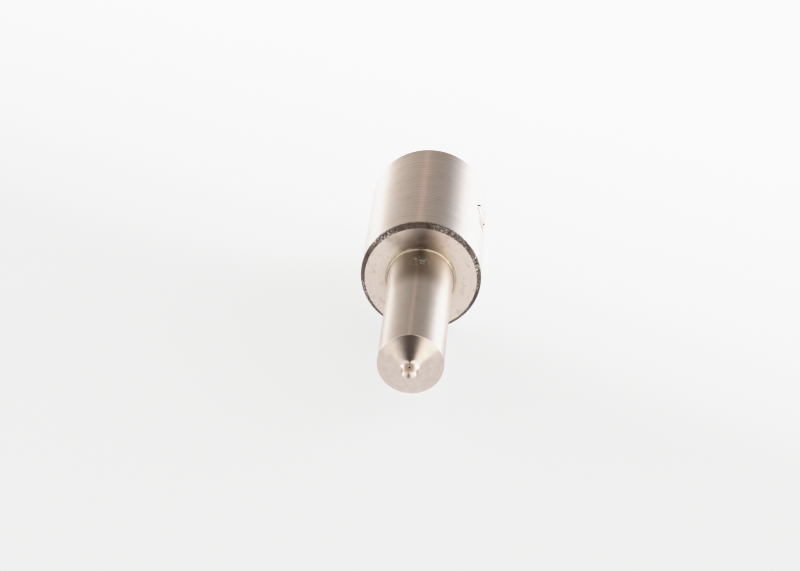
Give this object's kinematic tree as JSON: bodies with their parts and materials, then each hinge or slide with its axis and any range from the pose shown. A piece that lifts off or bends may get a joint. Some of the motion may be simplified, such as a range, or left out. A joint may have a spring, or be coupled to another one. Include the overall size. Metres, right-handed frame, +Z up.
{
  "type": "diesel injector nozzle",
  "caption": "Hole-type diesel injector nozzle: ground steel body with wide collar, slim stem and blunt conical tip with a sac nipple and spray holes, sliding needle, locating dowels.",
  "frame": {"origin": "centre of the lapped rear face, on the nozzle's axis", "axes": "+Y out of the lapped face along the axis, so the spray tip points along -Y; +Z up with the nozzle lying on its collar; the etched mark faces +X"},
  "size_m": [0.017, 0.0576, 0.017],
  "materials": {
    "body_steel": "ground and turned, satin, with heat-treatment scale on the shoulder's chamfer",
    "needle_steel": "lapped, nearly mirror bright",
    "dowel_steel": "ground, semi-bright"
  },
  "bodies": {
    "nozzle": {"nozzle_body": "body_steel", "locating_dowel_left": "dowel_steel", "locating_dowel_right": "dowel_steel"},
    "needle": {"nozzle_needle": "needle_steel"}
  },
  "joints": [
    {"name": "needle_slide", "type": "slide", "parent": "nozzle", "child": "needle", "axis": [0, 1, 0], "range_m": [0, 0.054]}
  ]
}
